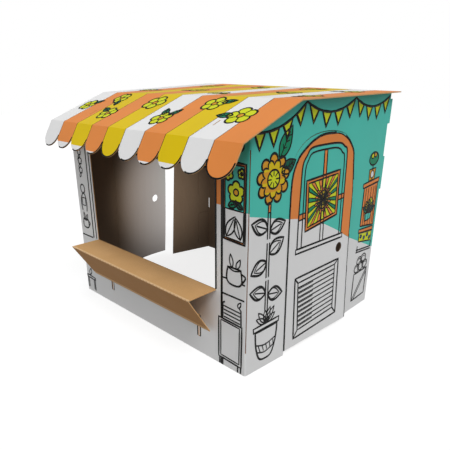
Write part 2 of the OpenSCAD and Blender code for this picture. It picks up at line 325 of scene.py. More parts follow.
# %% [markdown]
# ## The coated side
# The outside of each sheet carries a white coating, thinner than a hair. It follows every cut
# and fold, so it starts as a copy of the sheet's own faces: the copy is merged, all that doesn't
# face outwards is deleted, and Solidify gives it a thickness. Straight cuts with bisect then
# part it into fields, and each field takes its colour. The sheets come with shading normals of
# their own, which no longer fit after a cut, so the copy drops them and is shaded flat.


# %% Copy the outer faces of a sheet
def edit(piece):
    bpy.ops.object.mode_set(mode="OBJECT")
    bpy.ops.object.select_all(action="DESELECT")
    bpy.context.view_layer.objects.active = piece
    piece.select_set(True)
    bpy.ops.object.mode_set(mode="EDIT")
    bpy.ops.mesh.select_mode(type="FACE")


def done():
    bpy.ops.object.mode_set(mode="OBJECT")


def choose(piece, test):
    """Selects the faces whose middle and normal pass a test. It starts and ends in edit mode."""
    bpy.ops.mesh.select_all(action="DESELECT")
    bpy.ops.object.mode_set(mode="OBJECT")
    count = 0
    for face in piece.data.polygons:
        face.select = bool(test(face.center, face.normal))
        count += face.select
    bpy.ops.object.mode_set(mode="EDIT")
    return count


def outer_faces(sheet, name, keep):
    piece = bpy.data.objects.new(name, sheet.data.copy())
    bpy.context.scene.collection.objects.link(piece)
    edit(piece)
    bpy.ops.mesh.select_all(action="SELECT")
    bpy.ops.mesh.remove_doubles(threshold=0.00001)
    left_over = choose(piece, lambda middle, normal: not keep(middle, normal))
    bpy.ops.mesh.delete(type="FACE")
    done()
    bpy.ops.mesh.customdata_custom_splitnormals_clear()
    bpy.ops.object.shade_flat()
    print(name, "keeps", len(piece.data.polygons), "faces and drops", left_over)
    return piece


def cut(piece, point, normal, test=None):
    """Scores the chosen faces, or all of them, along a plane."""
    edit(piece)
    if test is None or choose(piece, test):
        if test is None:
            bpy.ops.mesh.select_all(action="SELECT")
        bpy.ops.mesh.bisect(plane_co=point, plane_no=normal)
    done()


def colour_fields(piece, names, pick):
    dress(piece, *(inks[name] for name in names))
    for face in piece.data.polygons:
        face.material_index = names.index(pick(face.center))


def thicken(piece, thickness):
    edit(piece)
    done()
    bpy.ops.object.modifier_add(type="SOLIDIFY")
    solid = piece.modifiers[-1]
    solid.thickness = thickness * MM
    solid.offset = 1
    solid.use_even_offset = True
    bpy.ops.object.modifier_apply(modifier=solid.name)


def finished(piece):
    piece.data.update()
    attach(piece, "root")
    return piece


# %% [markdown]
# ## Fields of colour on the walls
# The upper part of each wall is teal and the lower part is left white for a child to colour in.
# On the side walls the line between them falls from front to back in one long curve, which is
# drawn here as short straight cuts.

# %% Where the colours of the walls meet
FOLD = 8.0
SPLIT_SIDE = [(-20, 672), (234, 612), (306, 599), (467, 548), (591, 489), (673, 442), (1040, 285)]
SPLIT_LEFT_PILLAR = 830
SPLIT_RIGHT_PILLAR = 678
SPLIT_JAMB = 686
WINDOW_HALF = 435
WINDOW_TOP = 812
HEAD_LINE_TOP = 838
JAMB_LINE = (462, 474)


def wall_outside(middle, normal):
    x, y = abs(middle.x) / MM, middle.y / MM
    side = math.copysign(1, middle.x)
    if x > HALF_WIDTH - FOLD - 0.01 and y < FOLD + FACE + 0.01:
        reach = math.hypot(x - (HALF_WIDTH - FOLD), y - (FOLD + FACE))
        return reach > FOLD - 0.6 and abs(normal.z) < 0.5 and normal.x * side - normal.y > 0.5
    if normal.y < -0.9:
        return abs(y - FACE) < 0.3
    return x > HALF_WIDTH - 12 and normal.x * side > 0.6


# %% Coat the walls
coat = outer_faces(walls, "wall_print", wall_outside)
for z in (WINDOW_TOP, SPLIT_LEFT_PILLAR, HEAD_LINE_TOP):
    cut(coat, (0, 0, z * MM), (0, 0, 1), lambda m, n: n.y < -0.9 and abs(m.x) < HALF_WIDTH * MM)
for x in (-WINDOW_HALF, WINDOW_HALF, *JAMB_LINE):
    cut(coat, (x * MM, 0, 0), (1, 0, 0), lambda m, n: n.y < -0.9)
for low, z in ((WINDOW_HALF, SPLIT_JAMB), (JAMB_LINE[1], SPLIT_RIGHT_PILLAR)):
    cut(coat, (0, 0, z * MM), (0, 0, 1), lambda m, n: n.y < 0.2 and low * MM < m.x and abs(n.z) < 0.5)
for y, _ in SPLIT_SIDE[1:-1]:
    cut(coat, (0, (y + FACE) * MM, 0), (0, 1, 0), lambda m, n: abs(n.x) > 0.9)
for (y1, z1), (y2, z2) in zip(SPLIT_SIDE, SPLIT_SIDE[1:]):
    start = Vector((0, (y1 + FACE) * MM, z1 * MM))
    end = Vector((0, (y2 + FACE) * MM, z2 * MM))
    across = (end - start).cross(Vector((1, 0, 0)))
    cut(coat, start, across, lambda m, n: abs(n.x) > 0.9 and start.y < m.y < end.y)


def split_height(y):
    for (y1, z1), (y2, z2) in zip(SPLIT_SIDE, SPLIT_SIDE[1:]):
        if y <= y2:
            break
    return z1 + (z2 - z1) * (y - y1) / (y2 - y1)


def wall_field(middle):
    x, y, z = middle.x / MM, middle.y / MM - FACE, middle.z / MM
    if y > 1 or abs(x) > HALF_WIDTH - FOLD - 1:
        return "teal" if z > split_height(max(y, 0)) else "white"
    if x < -WINDOW_HALF:
        return "teal" if z > SPLIT_LEFT_PILLAR else "white"
    if x > JAMB_LINE[1]:
        return "teal" if z > SPLIT_RIGHT_PILLAR else "white"
    if x > JAMB_LINE[0]:
        return "black"
    if x > WINDOW_HALF:
        return "orange" if z > SPLIT_JAMB else "white"
    if z < WINDOW_TOP:
        return "white"
    if z < SPLIT_LEFT_PILLAR:
        return "orange"
    return "black" if z < HEAD_LINE_TOP else "teal"


colour_fields(coat, ["white", "teal", "orange", "black"], wall_field)
thicken(coat, COAT)
finished(coat)

# %% [markdown]
# ## The creases at the front corners
# Each front corner was cut through its print and its flutes, and only the brown inner paper
# still holds the two walls together. It shows at the bottom of the long slit, in shade, and that
# shade is painted: the strip is a darker brown than the kraft. The strip starts as a small plane
# across the corner, and it is extruded up as far as the slit is long.

# %% Leave the inner paper in the slits
SLIT_LOW, SLIT_HIGH = 107, 896
CREASE_WIDE, CREASE_THICK = 4.4, 1.0
CREASE_X, CREASE_Y = 595.9, 2.1
# Painted shade: the inner paper in the slits is kraft painted darker.
crease_shade_brown = ink("crease paper", rgb(116, 68, 32), 0.08)
for side, hand in ((-1, "left"), (1, "right")):
    bpy.ops.mesh.primitive_plane_add(size=1, location=(side * CREASE_X * MM, CREASE_Y * MM, SLIT_LOW * MM))
    strip = bpy.context.active_object
    strip.name = "crease_paper_" + hand
    strip.scale = (CREASE_WIDE * MM, CREASE_THICK * MM, 1)
    strip.rotation_euler = (0, 0, side * math.radians(45))
    bpy.ops.object.transform_apply(location=True, rotation=True, scale=True)
    edit(strip)
    bpy.ops.mesh.select_all(action="SELECT")
    bpy.ops.mesh.extrude_region_move(TRANSFORM_OT_translate={"value": (0, 0, (SLIT_HIGH - SLIT_LOW) * MM)})
    bpy.ops.mesh.select_all(action="SELECT")
    bpy.ops.mesh.normals_make_consistent(inside=False)
    done()
    print(strip.name, "has", len(strip.data.polygons), "faces")
    dress(strip, crease_shade_brown)
    finished(strip)

# %% Coat the back wall
back_coat = outer_faces(back_wall, "back_coating", lambda m, n: n.y > 0.9 and m.y > 0.98)
dress(back_coat, inks["white"])
thicken(back_coat, COAT)
finished(back_coat)

# %% [markdown]
# ## Stripes
# Ten stripes run over the roof from back to front and on down the awning, with a thin black
# line between them. Some scallops are left unprinted at their tips, where the ink stops short
# of the die's cut. The stripes are cuts in the coating, at the two sides of each black line.

# %% Print the roof
ORDER = ["white", "orange", "yellow", "orange", "yellow", "white", "orange", "yellow", "white", "orange"]
BARE_TIPS = {1: 97, 2: 103, 3: 117, 6: 116, 7: 106}
LINE = 3.0
stripes = outer_faces(roof, "roof_print", lambda m, n: n.z > 0.3)
for i in range(1, STRIPES):
    for edge in (-LINE / 2, LINE / 2):
        cut(stripes, ((-ROOF_HALF + i * STRIPE + edge) * MM, 0, 0), (1, 0, 0))
for i, reach in BARE_TIPS.items():
    low, high = ((-ROOF_HALF + (i + k) * STRIPE) * MM for k in (0, 1))
    cut(stripes, (EAVE + DOWN * reach) * MM, DOWN, lambda m, n: n.y < -0.6 and low < m.x < high)


def roof_field(middle):
    along = (middle.x / MM + ROOF_HALF) / STRIPE
    i = min(STRIPES - 1, max(0, int(along)))
    off = abs(along - round(along)) * STRIPE
    below = (middle / MM - EAVE).dot(DOWN)
    if off < LINE / 2 and 0 < round(along) < STRIPES:
        return "roof_black"
    if middle.y < EAVE.y * MM and below > BARE_TIPS.get(i, 999):
        return "roof_white"
    return "roof_" + ORDER[i]


colour_fields(stripes, ["roof_white", "roof_orange", "roof_yellow", "roof_black"], roof_field)
thicken(stripes, COAT)
finished(stripes)

# %% [markdown]
# ## Drawing on board
# The drawings are black outlines with flat colours inside them. Each shape is a flat curve: a
# filled one for a colour, a thin round one for a line. All of a wall's curves are drawn flat in
# millimetres, made into a mesh, and then laid on the board point by point, because the side
# walls bow and the doors stand open. To find the board, a ray is cast at it from outside. The
# left door bulges, so that wall's drawing is first cut into small squares that follow it.


# %% A sheet of drawings
BOLD = 2.5


class Drawing:
    def __init__(self, name):
        self.name = name
        self.curves = []
        self.layer = 0

    def curve(self, loops, closed):
        data = bpy.data.curves.new(self.name, "CURVE")
        data.dimensions = "2D"
        for loop in loops:
            spline = data.splines.new("POLY")
            spline.points.add(len(loop) - 1)
            for point, (h, v) in zip(spline.points, loop):
                point.co = (h, v, 0, 1)
            spline.use_cyclic_u = closed
        piece = bpy.data.objects.new(self.name, data)
        bpy.context.scene.collection.objects.link(piece)
        self.curves.append(piece)
        return piece

    def fill(self, colour, *loops):
        piece = self.curve([cut_short(loop) for loop in loops], True)
        piece.data.fill_mode = "BOTH"
        piece.data.materials.append(inks[colour])
        self.layer += 1
        piece.location.z = 10 + min(self.layer, 9)

    def line(self, points, width=3.2, closed=False, colour="black"):
        piece = self.curve([cut_short(points, closed)], closed)
        piece.data.dimensions = "3D"
        piece.data.twist_mode = "Z_UP"
        piece.data.fill_mode = "FULL"
        piece.data.bevel_depth = width * BOLD / 2
        piece.data.bevel_resolution = 0
        piece.data.use_fill_caps = True
        piece.data.materials.append(inks[colour])

    def shape(self, colour, points, width=3.2):
        if colour:
            self.fill(colour, points)
        self.line(points, width, True)

    def motif(self):
        """Starts a new motif, whose first colour lies lowest."""
        self.layer = 0


def cut_short(points, closed=True, step=28.0):
    """The same outline with no stretch longer than a step, so that it can follow a bent board."""
    out = []
    ends = points[1:] + (points[:1] if closed else [])
    for (h1, v1), (h2, v2) in zip(points, ends):
        parts = max(1, math.ceil(math.hypot(h2 - h1, v2 - v1) / step))
        out += [(h1 + (h2 - h1) * k / parts, v1 + (v2 - v1) * k / parts) for k in range(parts)]
    return out if closed else out + [points[-1]]


TEAR = 9
TEAR_LEFT = 36
SQUARE = 40
SQUARES = 27


def lay(drawing, place, mirrored=None):
    """Makes the drawing one mesh and puts each of its points where place says. What would hang
    over a gap in the board, or stretch from a door to the wall, is left out."""
    bpy.ops.object.select_all(action="DESELECT")
    for curve in drawing.curves:
        curve.select_set(True)
    bpy.context.view_layer.objects.active = drawing.curves[0]
    bpy.ops.object.convert(target="MESH")
    bpy.ops.object.transform_apply(location=True, rotation=False, scale=False)
    bpy.ops.object.join()
    piece = bpy.context.active_object
    if mirrored:
        edit(piece)
        for k in range(1, SQUARES):
            for across in ((1, 0, 0), (0, 1, 0)):
                bpy.ops.mesh.select_all(action="SELECT")
                bpy.ops.mesh.bisect(plane_co=(SQUARE * k, SQUARE * k, 0), plane_no=across)
        done()
    missed = set()
    for point in piece.data.vertices:
        h, v, w = point.co
        lift = INK + STEP * (w - 10) if w > 5 else INK + STEP * 10 + w * 0.06
        at = place(h, v, lift)
        point.co = (at or Vector((h, v, 0))) * MM
        if at is None:
            missed.add(point.index)
    piece.name = drawing.name
    piece.data.update()
    edit(piece)
    bpy.ops.mesh.select_all(action="DESELECT")
    done()
    longest = (TEAR_LEFT if mirrored else TEAR) * MM
    for face in piece.data.polygons:
        spread = [piece.data.vertices[k].co.x for k in face.vertices]
        torn = mirrored is not None and max(spread) - min(spread) > longest
        face.select = torn or any(k in missed for k in face.vertices)
    edit(piece)
    bpy.ops.mesh.delete(type="FACE")
    if mirrored:
        bpy.ops.mesh.select_all(action="SELECT")
        bpy.ops.mesh.flip_normals()
    done()
    print(drawing.name, "has", len(piece.data.polygons), "faces from", len(drawing.curves), "curves")
    return piece


# %% [markdown]
# ## Where a drawing is laid
# There are four places: the front wall, a side wall, the roof and the awning. On the left wall a
# point of the door's drawing first moves towards the hinge, as the open door's own points did.

# %% The four places to lay a drawing
def on_front(x, z, lift):
    return Vector((x, FACE - lift, z))


def within(outline, h, v):
    """A point lies inside if a line from it crosses the outline an odd number of times."""
    crossed = 0
    for (h1, v1), (h2, v2) in zip(outline, outline[1:] + outline[:1]):
        if (v1 > v) != (v2 > v) and h < h1 + (h2 - h1) * (v - v1) / (v2 - v1):
            crossed += 1
    return crossed % 2 == 1


HINGE = 234
DOOR_MIDDLE = 465
DOOR_TOP = 917
SWING_FOOT = 16.2
SWING_TOP = 12.7


def on_open_door(y, z):
    """The left door stands open, so each point of its drawing moves towards the hinge."""
    if not within(DOOR_LINE, y + (DOOR_MIDDLE - y) * 0.03, max(z * 0.985, 40)):
        return y
    swing = math.radians(SWING_FOOT - (SWING_FOOT - SWING_TOP) * z / DOOR_TOP)
    return HINGE + (y - HINGE) * math.cos(swing) * 0.99


def on_side(side):
    def place(y, z, lift):
        if side < 0:
            y = on_open_door(y, z)
        start = Vector((side * 1.0, (y + FACE) * MM, z * MM))
        hit, at, _, _ = walls.ray_cast(start, Vector((-side, 0, 0)))
        if not hit or at.x * side < 0.597:
            return None
        return Vector((at.x / MM + side * lift, y + FACE, z))

    return place


def on_roof(x, y, lift):
    hit, at, normal, _ = roof.ray_cast(Vector((x * MM, (y + FACE) * MM, 2)), Vector((0, 0, -1)))
    return at / MM + normal * lift if hit and normal.z > 0.85 else None


def on_awning(x, down, lift):
    return Vector((x, EAVE.y, EAVE.z)) - DOWN * down + AWNING_OUT * lift


# %% [markdown]
# ## Hand-drawn outlines
# A few helpers give the outlines their drawn look: a closed blob from a handful of lengths, a
# leaf with two pointed ends, a box with slightly leaning sides, and a smooth curve through
# given points.


# %% Outlines
def smooth(points, closed=False, steps=6):
    """A Catmull-Rom curve through the points."""
    n = len(points)
    out = []
    for i in range(n if closed else n - 1):
        p = [points[(i + k) % n] if closed else points[min(max(i + k, 0), n - 1)] for k in (-1, 0, 1, 2)]
        for s in range(steps):
            t = s / steps
            out.append(tuple(
                0.5 * (2 * p[1][a] + (p[2][a] - p[0][a]) * t
                       + (2 * p[0][a] - 5 * p[1][a] + 4 * p[2][a] - p[3][a]) * t * t
                       + (3 * p[1][a] - p[0][a] - 3 * p[2][a] + p[3][a]) * t ** 3)
                for a in (0, 1)))
    return out if closed else out + [points[-1]]


def oval(h, v, across, up, steps=28, start=0.0, sweep=360.0):
    count = steps if sweep == 360 else steps + 1
    angles = [math.radians(start + sweep * k / steps) for k in range(count)]
    return [(h + across * math.cos(a), v + up * math.sin(a)) for a in angles]


def leaf(h, v, length, width, angle):
    """A pointed leaf that grows from (h, v)."""
    a = math.radians(angle)
    sides = [(length * k / 10, width / 2 * math.sin(math.pi * (k / 10) ** 0.85)) for k in range(11)]
    outline = sides + [(s, -w) for s, w in sides[-2:0:-1]]
    right, up = math.cos(a), math.sin(a)
    return [(h + s * right - w * up, v + s * up + w * right) for s, w in outline]


def box(h1, v1, h2, v2, lean=0.0):
    return [(h1, v1), (h2, v1 + lean), (h2, v2 + lean), (h1, v2)]


# %% [markdown]
# ## Flowers
# Simple five-petal flowers are strewn over the roof and used again in the pictures. A flower is
# a ring of round petals in lime yellow with an amber heart, and it has one or two green leaves
# with a vein.


# %% Draw a flower
def petals(h, v, size, count, turn):
    outline = []
    for k in range(count * 8):
        a = 2 * math.pi * k / (count * 8)
        reach = size * (0.72 + 0.28 * abs(math.cos(a * count / 2)) ** 0.7)
        outline.append((h + reach * math.cos(a + turn), v + reach * math.sin(a + turn)))
    return outline


def green_leaf(sheet, h, v, length, width, angle, colour="green"):
    sheet.shape(colour, leaf(h, v, length, width, angle), 2.8)
    a = math.radians(angle)
    tip = (h + 0.82 * length * math.cos(a), v + 0.82 * length * math.sin(a))
    sheet.line([(h, v), tip], 2.0)
    for k in (0.3, 0.5, 0.68):
        for side in (-1, 1):
            b = a + side * 0.75
            root = (h + k * length * math.cos(a), v + k * length * math.sin(a))
            reach = width * 0.36 * math.sin(math.pi * k)
            sheet.line([root, (root[0] + reach * math.cos(b), root[1] + reach * math.sin(b))], 1.6)


def flower(sheet, h, v, size, turn=0.3, leaves=(200, 330), colour="lime"):
    sheet.motif()
    for angle in leaves:
        a = math.radians(angle)
        root = (h + size * 0.6 * math.cos(a), v + size * 0.6 * math.sin(a))
        green_leaf(sheet, *root, size * 1.25, size * 0.62, angle)
    sheet.shape(colour, petals(h, v, size, 5, turn), 3.2)
    for k in range(5):
        a = turn + 2 * math.pi * (k + 0.5) / 5
        sheet.line([(h + size * r * math.cos(a), v + size * r * math.sin(a)) for r in (0.34, 0.66)], 2.2)
    sheet.shape("amber", oval(h, v, size * 0.25, size * 0.25, 16), 2.4)


# %% Strew them over the roof
roof_art = Drawing("roof_flowers")
for h, v, size, turn, leaves in (
    (-556, 92, 48, 0.2, (35,)), (-384, 176, 46, 0.9, (300,)), (-292, 30, 50, 0.5, (150,)),
    (-92, 150, 58, 0.1, ()), (98, 28, 50, 0.7, (120, 60)), (262, 168, 54, 0.3, (20,)),
    (470, 92, 60, 0.6, (185,)), (-500, 430, 50, 0.4, (10,)), (-210, 520, 54, 1.0, (200,)),
    (60, 400, 52, 0.2, (330,)), (330, 560, 56, 0.8, (160,)), (540, 420, 50, 0.1, (250,)),
    (-420, 800, 52, 0.5, (60,)), (-60, 830, 50, 0.9, (130,)), (220, 880, 52, 0.3, (10,)),
    (500, 800, 54, 0.7, (200,)),
):
    flower(roof_art, h, v, size, turn, leaves)
finished(lay(roof_art, on_roof))

# %% [markdown]
# ## Outline of the awning
# A black line follows the rim of each fully printed scallop. On the white ones, and where the
# tip is bare, it follows only the lower right part.

# %% Line the scallops
awning_art = Drawing("awning_lines")
for i, colour in enumerate(ORDER):
    middle = -ROOF_HALF + (i + 0.5) * STRIPE
    rim = SCALLOP - 1.6
    if colour != "white" and i not in BARE_TIPS:
        awning_art.line(oval(middle, -BAND, rim, rim, 30, 180, 180), 2.6)
    else:
        awning_art.line(oval(middle, -BAND, rim, rim, 18, 250, 108), 2.2)
finished(lay(awning_art, on_awning))

# %% [markdown]
# ## Right side wall
# A cord with pennants hangs under the roof. The door is drawn as a wooden one: an orange arch,
# a window with bars and a small picture, and a panel of slats below. Left of it a tall flower
# grows from a pot, and to its right stands a shelf.


# %% Pennants on a cord
def swag(sheet, start, end, sag, count):
    def at(t):
        h, v = (start[c] + (end[c] - start[c]) * t for c in (0, 1))
        return (h, v - 4 * sag * t * (1 - t))

    for k in range(count):
        a, b = at((k + 0.16) / count), at((k + 0.94) / count)
        middle = ((a[0] + b[0]) / 2, (a[1] + b[1]) / 2 - 62)
        sheet.motif()
        sheet.shape("amber", [a, b, middle], 3.2)
        inner = [tuple(p[c] + (sum(q[c] for q in (a, b, middle)) / 3 - p[c]) * 0.24 for c in (0, 1))
                 for p in (a, b, middle)]
        sheet.shape("lime", inner, 2.0)
    sheet.line([at(k / 16) for k in range(17)], 3.6)


# %% Draw the door
DOOR_LINE = [
    (235, 21), (233, 309), (234, 606), (240, 761), (270, 832), (306, 864), (363, 896), (429, 915),
    (509, 917), (563, 912), (613, 891), (649, 863), (676, 827), (683, 783), (698, 646), (695, 512),
    (695, 371), (696, 198), (697, 22)]
BAND_LINE = [
    (292, 472), (293, 593), (298, 713), (304, 809), (330, 846), (359, 871), (456, 876), (560, 873),
    (598, 856), (622, 833), (624, 700), (622, 560), (620, 471)]
PANE_LINE = [
    (320, 472), (321, 669), (322, 787), (341, 828), (367, 851), (457, 857), (547, 854), (584, 832),
    (604, 801), (603, 619), (602, 471)]


def beside_split(points, side):
    """Keeps the part of an outline above (1) or below (-1) the line between teal and white."""
    out = []
    for p, q in zip(points, points[1:] + points[:1]):
        dp, dq = ((s[1] - split_height(s[0])) * side for s in (p, q))
        if dp >= 0:
            out.append(p)
        if dp * dq < 0:
            t = dp / (dp - dq)
            out.append(tuple(p[c] + (q[c] - p[c]) * t for c in (0, 1)))
    return out


def door(sheet):
    outer, inner, pane = (smooth(points, steps=4) for points in (DOOR_LINE[1:-1], BAND_LINE, PANE_LINE))
    top, under_top = (max(range(len(line)), key=lambda i: line[i][1]) for line in (outer, inner))
    sheet.motif()
    for near, far in ((outer[:top + 1], inner[:under_top + 1]), (outer[top:], inner[under_top:])):
        sheet.fill("orange", beside_split(near + far[::-1], 1))
    sheet.line(smooth(DOOR_LINE, steps=4), 4.0)
    sheet.line(inner, 3.2)
    sheet.line(pane, 2.8)
    bar = [(448, 854), (470, 855), (474, 472), (452, 472)]
    sheet.motif()
    sheet.shape("orange", beside_split(bar, 1), 2.8)
    sheet.shape("white", beside_split(bar, -1), 2.8)
    sheet.shape("orange", [(295, 592), (336, 596), (336, 618), (295, 616)], 2.8)
    sheet.shape("orange", [(576, 630), (621, 632), (621, 653), (576, 651)], 2.8)
    sheet.shape("white", [(284, 472), (630, 469), (630, 450), (284, 453)], 3.4)


# %% Draw the picture in the door
def sunburst(sheet, frame_line, heart, size):
    sheet.motif()
    sheet.shape("orange", frame_line, 3.6)
    centre = tuple(sum(p[c] for p in frame_line) / len(frame_line) for c in (0, 1))
    inner = [tuple(centre[c] + (p[c] - centre[c]) * 0.87 for c in (0, 1)) for p in frame_line]
    sheet.shape("lime", inner, 2.6)
    reach = [tuple(centre[c] + (p[c] - centre[c]) * 0.84 for c in (0, 1)) for p in frame_line]
    for k in range(4):
        p, q = reach[k], reach[(k + 1) % 4]
        for t in (0.0, 0.25, 0.5, 0.75):
            tip = [(p[c] + (q[c] - p[c]) * (t + 0.07), p[c] + (q[c] - p[c]) * (t + 0.18)) for c in (0, 1)]
            ray = [heart, (tip[0][0], tip[1][0]), (tip[0][1], tip[1][1])]
            sheet.shape("green" if k % 2 else "orange", ray, 2.0)
    star = []
    for k in range(24):
        a = math.pi * k / 12
        far = size * (1.0 if k % 2 else 0.74)
        star.append((heart[0] + far * math.cos(a), heart[1] + far * math.sin(a)))
    sheet.shape("orange", star, 2.4)
    sheet.shape("yellow", oval(*heart, size * 0.62, size * 0.62), 2.8)
    sheet.line(oval(*heart, size * 0.36, size * 0.36), 2.4, True)


# %% Draw the slats
def between(start, end, t):
    return tuple(start[c] + (end[c] - start[c]) * t for c in (0, 1))


def slats(sheet):
    outer = [(290, 342), (614, 349), (612, 76), (295, 56)]
    inner = [(312, 317), (586, 328), (584, 110), (322, 90)]
    sheet.line(outer, 3.6, True)
    sheet.line(inner, 3.0, True)
    for p, q in zip(outer, inner):
        sheet.line([p, q], 3.0)
    for k in range(1, 10):
        left, right = (between(inner[a], inner[b], k / 10) for a, b in ((0, 3), (1, 2)))
        sheet.line([left, right], 2.6)
        part_way = between(left, right, 0.4)
        sheet.line([(left[0] + 6, left[1] - 6), (part_way[0], part_way[1] - 6)], 1.5)


# %% Draw the tall flower and its pot
def tall_flower(sheet):
    sheet.motif()
    sheet.shape("orange", [(104, 700), (118, 700), (118, 662), (104, 663)], 2.8)
    for low, high in ((560, 662), (404, 545), (255, 392)):
        sheet.line([(104, high), (104, low)], 2.8)
        sheet.line([(118, high), (118, low)], 2.8)
    green_leaf(sheet, 158, 850, 132, 62, 58)
    green_leaf(sheet, 172, 800, 92, 50, 24, "dark_green")
    sheet.shape("amber", petals(128, 782, 92, 9, 0.2), 3.8)
    sheet.shape("yellow", petals(128, 782, 70, 9, 0.5), 3.0)
    sheet.shape("lime", oval(128, 782, 34, 34), 3.0)
    for k in range(8):
        a = 2 * math.pi * k / 8
        sheet.line([(128 + r * math.cos(a), 782 + r * math.sin(a)) for r in (12, 30)], 2.0)
    for h, v, length, width, angle in (
        (104, 600, 96, 58, 158), (118, 590, 92, 56, 14), (104, 470, 92, 58, 200), (118, 500, 96, 60, 30),
        (104, 340, 92, 56, 165), (118, 330, 88, 58, 350)):
        sheet.motif()
        outline = leaf(h, v, length, width, angle)
        sheet.shape("white", outline, 3.8)
        sheet.line([(h + (x - h) * 0.8, v + (y - v) * 0.8) for x, y in outline], 2.0, True)
        a = math.radians(angle)
        sheet.line([(h, v), (h + length * 0.7 * math.cos(a), v + length * 0.7 * math.sin(a))], 2.4)
    sheet.motif()
    pot = smooth([(52, 178), (58, 110), (78, 52), (112, 40), (150, 50), (174, 110), (182, 182)], steps=4)
    sheet.shape("white", pot, 3.6)
    sheet.shape("white", [(42, 182), (190, 188), (192, 208), (40, 202)], 3.4)
    sheet.line(smooth([(57, 120), (112, 106), (176, 122)]), 2.6)
    sheet.line(smooth([(66, 84), (112, 72), (164, 88)]), 2.6)
    for k in range(5):
        sheet.line([(72 + 22 * k, 112), (84 + 20 * k, 80)], 2.0)
    for angle, length in ((150, 66), (128, 74), (52, 78), (30, 62), (96, 60), (70, 70)):
        sheet.line(leaf(112, 206, length, 24, angle), 2.4, True)


# %% Draw the shelf, the little tree and the box
def shelf_corner(sheet):
    sheet.motif()
    sheet.shape("green", oval(890, 772, 44, 30), 3.0)
    sheet.shape("lime", oval(876, 786, 13, 12, 14), 2.2)
    sheet.shape("amber", oval(902, 790, 12, 12, 14), 2.2)
    sheet.shape("amber", [(862, 668), (914, 672), (920, 726), (858, 722)], 3.0)
    sheet.shape("white", oval(889, 698, 16, 18, 18), 2.2)
    sheet.line([(888, 744), (888, 724)], 3.0)
    sheet.motif()
    sheet.shape("orange", [(826, 640), (958, 652), (960, 436), (826, 452)], 3.4)
    for h in (848, 872, 898, 924, 944):
        sheet.line([(h, 636), (h, 446)], 1.8)
    sheet.shape("orange", [(814, 640), (966, 654), (968, 676), (814, 660)], 3.0)
    sheet.shape("teal", [(866, 470), (918, 474), (926, 512), (858, 506)], 2.6)
    for angle in (150, 118, 84, 48, 20):
        green_leaf(sheet, 892, 512, 66, 30, angle, "dark_green" if angle in (118, 20) else "green")
    sheet.shape("lime", petals(904, 560, 24, 5, 0.2), 2.4)
    sheet.shape("yellow", petals(872, 548, 20, 5, 0.6), 2.2)
    sheet.motif()
    sheet.shape("orange", [(818, 436), (962, 428), (962, 408), (818, 418)], 3.0)
    sheet.shape("lime", [(826, 416), (956, 404), (956, 352), (826, 372)], 2.8)
    for h, v in ((846, 396), (880, 382), (912, 392), (938, 372)):
        sheet.shape("blue", oval(h, v, 9, 9, 12), 2.0)
    for h in (822, 960):
        sheet.line([(h, 350), (h, 318)], 3.0)
    sheet.line([(812, 330), (964, 318)], 3.0)
    sheet.line([(812, 318), (964, 306)], 3.0)
    sheet.line(box(820, 48, 952, 196, 8), 3.4, True)
    sheet.line([(820, 48), (952, 204)], 2.8)
    sheet.line([(838, 48), (952, 184)], 2.4)
    for h, v, r in ((842, 224, 24), (880, 232, 28), (922, 232, 24), (862, 262, 24), (902, 268, 26)):
        sheet.line(oval(h, v, r, r * 0.9, 18), 2.8, True)
        sheet.line(oval(h, v, r * 0.55, r * 0.5, 12, 20, 140), 1.8)


# %% Lay out a side wall
def side_drawing(name):
    sheet = Drawing(name)
    for start, end, sag, count in (((2, 952), (309, 1040), 34, 4), ((309, 1040), (664, 1046), 44, 4),
                                   ((664, 1046), (976, 1050), 40, 4)):
        swag(sheet, start, end, sag, count)
    door(sheet)
    sunburst(sheet, [(335, 746), (578, 761), (574, 566), (341, 537)], (458, 652), 62)
    slats(sheet)
    tall_flower(sheet)
    shelf_corner(sheet)
    sheet.line([(-2, 668), (4, 668)], 2.0)
    return sheet


finished(lay(side_drawing("right_wall_drawing"), on_side(1), False))
finished(lay(side_drawing("left_wall_drawing"), on_side(-1), True))

# %% [markdown]
# ## Front wall
# The pillars beside the serving window carry pictures and things to colour in: on the right a
# framed picture, a jug and a board, on the left the same kinds of things in outline only.


# %% Draw the pillars
def jug(sheet, h, v, size):
    def sized(*points):
        return [(h + a * size, v + b * size) for a, b in points]

    body = sized((-0.30, 0.62), (-0.36, 0.2), (-0.2, 0), (0.2, 0), (0.36, 0.2), (0.30, 0.62))
    sheet.shape("white", smooth(body, steps=4), 3.2)
    sheet.line(smooth(sized((-0.30, 0.6), (0, 0.52), (0.30, 0.6))), 2.4)
    sheet.line(smooth(sized((0.34, 0.5), (0.52, 0.4), (0.36, 0.14))), 3.0)
    sheet.line(leaf(h - 0.1 * size, v + 0.62 * size, 0.5 * size, 0.16 * size, 100), 2.2, True)
    sheet.line(leaf(h + 0.1 * size, v + 0.62 * size, 0.42 * size, 0.16 * size, 66), 2.2, True)


